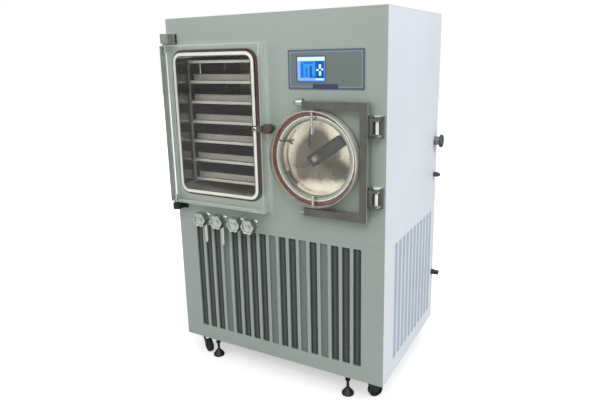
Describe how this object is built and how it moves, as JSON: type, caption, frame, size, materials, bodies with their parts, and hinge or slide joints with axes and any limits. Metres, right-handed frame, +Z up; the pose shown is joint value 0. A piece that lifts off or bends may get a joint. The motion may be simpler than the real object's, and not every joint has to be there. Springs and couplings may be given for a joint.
{
  "type": "freeze dryer",
  "caption": "Floor-standing pilot freeze dryer: shelved drying chamber behind a clear door, round condenser behind a clear disc door, louvred machine bay on casters.",
  "frame": {"origin": "on the floor, under the centre of the whole machine's bounding box", "axes": "+Z up, +Y from the front to the back, +X to the right as seen from the front"},
  "size_m": [1.035, 0.7706, 1.56],
  "materials": {
    "front_paint": "grey-green powder coat",
    "side_paint": "pale bluish-white powder coat",
    "filter_mat": "dark woven filter mat",
    "galvanised": "zinc-plated sheet",
    "fins": "bare fin stock",
    "panel_face": "satin grey face with a blue-grey rim",
    "display": "lit display under clear glass",
    "black_paint": "black semi-gloss paint",
    "black_plastic": "moulded black plastic",
    "stainless": "brushed stainless steel",
    "polished_steel": "spun and polished stainless steel",
    "chrome": "bright chrome plate",
    "cast_metal": "bronze-grey satin enamel",
    "dark_metal": "dark grey satin enamel",
    "red_silicone": "dark red silicone",
    "acrylic": "clear polished acrylic"
  },
  "bodies": {
    "cabinet": {"front_panel": "front_paint", "front_grille": "front_paint", "left_side_panel": "side_paint", "right_side_panel": "side_paint", "rear_panel": "side_paint", "top_panel": "side_paint", "filter_mesh": "filter_mat", "base_pan": "galvanised", "mid_deck": "galvanised", "air_condenser": "fins", "control_panel": "panel_face", "display_screen": "display", "compressor": "black_paint", "chamber_shell": "stainless", "shelf_1": "stainless", "shelf_2": "stainless", "shelf_3": "stainless", "shelf_4": "stainless", "shelf_5": "stainless", "shelf_6": "stainless", "shelf_7": "stainless", "tray_1": "stainless", "tray_2": "stainless", "tray_3": "stainless", "tray_4": "stainless", "tray_5": "stainless", "tray_6": "stainless", "condenser_vessel": "stainless", "condenser_baffle": "polished_steel", "latch_boss": "chrome", "valve_manifold": "chrome", "door_hinge_upper": "dark_metal", "door_hinge_lower": "dark_metal", "frame_hinge_upper": "dark_metal", "frame_hinge_lower": "dark_metal", "chamber_gasket": "red_silicone", "condenser_gasket": "red_silicone"},
    "drying_door": {"drying_door": "acrylic", "latch_strap": "stainless"},
    "latch_knob": {"latch_knob": "black_plastic"},
    "condenser_door": {"condenser_frame": "cast_metal", "condenser_door": "acrylic"},
    "baffle_lever": {"baffle_lever": "black_plastic"},
    "condenser_fan": {"condenser_fan": "black_plastic"},
    "valve_knob_1": {"valve_knob_1": "chrome"},
    "valve_knob_2": {"valve_knob_2": "chrome"},
    "valve_knob_3": {"valve_knob_3": "chrome"},
    "valve_knob_4": {"valve_knob_4": "chrome"},
    "caster_front_left": {"caster_fork_front_left": "black_paint"},
    "wheel_front_left": {"caster_wheel_front_left": "black_plastic"},
    "foot_front_left": {"levelling_foot_front_left": "black_paint"},
    "caster_front_right": {"caster_fork_front_right": "black_paint"},
    "wheel_front_right": {"caster_wheel_front_right": "black_plastic"},
    "foot_front_right": {"levelling_foot_front_right": "black_paint"},
    "caster_rear_left": {"caster_fork_rear_left": "black_paint"},
    "wheel_rear_left": {"caster_wheel_rear_left": "black_plastic"},
    "foot_rear_left": {"levelling_foot_rear_left": "black_paint"},
    "caster_rear_right": {"caster_fork_rear_right": "black_paint"},
    "wheel_rear_right": {"caster_wheel_rear_right": "black_plastic"},
    "foot_rear_right": {"levelling_foot_rear_right": "black_paint"}
  },
  "joints": [
    {"name": "drying_door_swing", "type": "hinge", "parent": "cabinet", "child": "drying_door", "pos_m": [-0.4935, -0.3517, 1.109], "axis": [0, 0, -1], "range_deg": [0, 110]},
    {"name": "latch_screw_draw", "type": "slide", "parent": "drying_door", "child": "latch_knob", "axis": [0, -1, 0], "range_m": [0, 0.016]},
    {"name": "condenser_door_swing", "type": "hinge", "parent": "cabinet", "child": "condenser_door", "pos_m": [0.4565, -0.3407, 1.008], "axis": [0, 0, 1], "range_deg": [0, 110]},
    {"name": "baffle_lever_turn", "type": "hinge", "parent": "cabinet", "child": "baffle_lever", "pos_m": [0.2015, -0.3147, 1.008], "axis": [0, 1, 0], "range_deg": [0, 90]},
    {"name": "valve_1_turn", "type": "hinge", "parent": "cabinet", "child": "valve_knob_1", "pos_m": [-0.3495, -0.3687, 0.705], "axis": [0, 1, 0], "range_deg": [0, 270]},
    {"name": "valve_2_turn", "type": "hinge", "parent": "cabinet", "child": "valve_knob_2", "pos_m": [-0.2585, -0.3687, 0.705], "axis": [0, 1, 0], "range_deg": [0, 270]},
    {"name": "valve_3_turn", "type": "hinge", "parent": "cabinet", "child": "valve_knob_3", "pos_m": [-0.1675, -0.3687, 0.705], "axis": [0, 1, 0], "range_deg": [0, 270]},
    {"name": "valve_4_turn", "type": "hinge", "parent": "cabinet", "child": "valve_knob_4", "pos_m": [-0.0955, -0.3687, 0.705], "axis": [0, 1, 0], "range_deg": [0, 270]},
    {"name": "condenser_fan_spin", "type": "hinge", "parent": "cabinet", "child": "condenser_fan", "pos_m": [0.2175, -0.1747, 0.333], "axis": [0, 1, 0], "continuous": true},
    {"name": "swivel_front_left", "type": "hinge", "parent": "cabinet", "child": "caster_front_left", "pos_m": [-0.4425, -0.2727, 0.08], "axis": [0, 0, 1], "continuous": true},
    {"name": "roll_front_left", "type": "hinge", "parent": "caster_front_left", "child": "wheel_front_left", "pos_m": [-0.41755, -0.28541, 0.0315], "axis": [0.454, 0.891, 0], "continuous": true},
    {"name": "level_front_left", "type": "slide", "parent": "cabinet", "child": "foot_front_left", "axis": [0, 0, 1], "range_m": [-0.015, 0.01]},
    {"name": "swivel_front_right", "type": "hinge", "parent": "cabinet", "child": "caster_front_right", "pos_m": [0.4075, -0.2727, 0.08], "axis": [0, 0, 1], "continuous": true},
    {"name": "roll_front_right", "type": "hinge", "parent": "caster_front_right", "child": "wheel_front_right", "pos_m": [0.42695, -0.25256, 0.0315], "axis": [-0.7193, 0.6947, 0], "continuous": true},
    {"name": "level_front_right", "type": "slide", "parent": "cabinet", "child": "foot_front_right", "axis": [0, 0, 1], "range_m": [-0.015, 0.01]},
    {"name": "swivel_rear_left", "type": "hinge", "parent": "cabinet", "child": "caster_rear_left", "pos_m": [-0.4425, 0.3393, 0.08], "axis": [0, 0, 1], "continuous": true},
    {"name": "roll_rear_left", "type": "hinge", "parent": "caster_rear_left", "child": "wheel_rear_left", "pos_m": [-0.46788, 0.32747, 0.0315], "axis": [0.4226, -0.9063, 0], "continuous": true},
    {"name": "level_rear_left", "type": "slide", "parent": "cabinet", "child": "foot_rear_left", "axis": [0, 0, 1], "range_m": [-0.015, 0.01]},
    {"name": "swivel_rear_right", "type": "hinge", "parent": "cabinet", "child": "caster_rear_right", "pos_m": [0.4075, 0.3393, 0.08], "axis": [0, 0, 1], "continuous": true},
    {"name": "roll_rear_right", "type": "hinge", "parent": "caster_rear_right", "child": "wheel_rear_right", "pos_m": [0.38278, 0.35245, 0.0315], "axis": [-0.4695, -0.8829, 0], "continuous": true},
    {"name": "level_rear_right", "type": "slide", "parent": "cabinet", "child": "foot_rear_right", "axis": [0, 0, 1], "range_m": [-0.015, 0.01]}
  ]
}
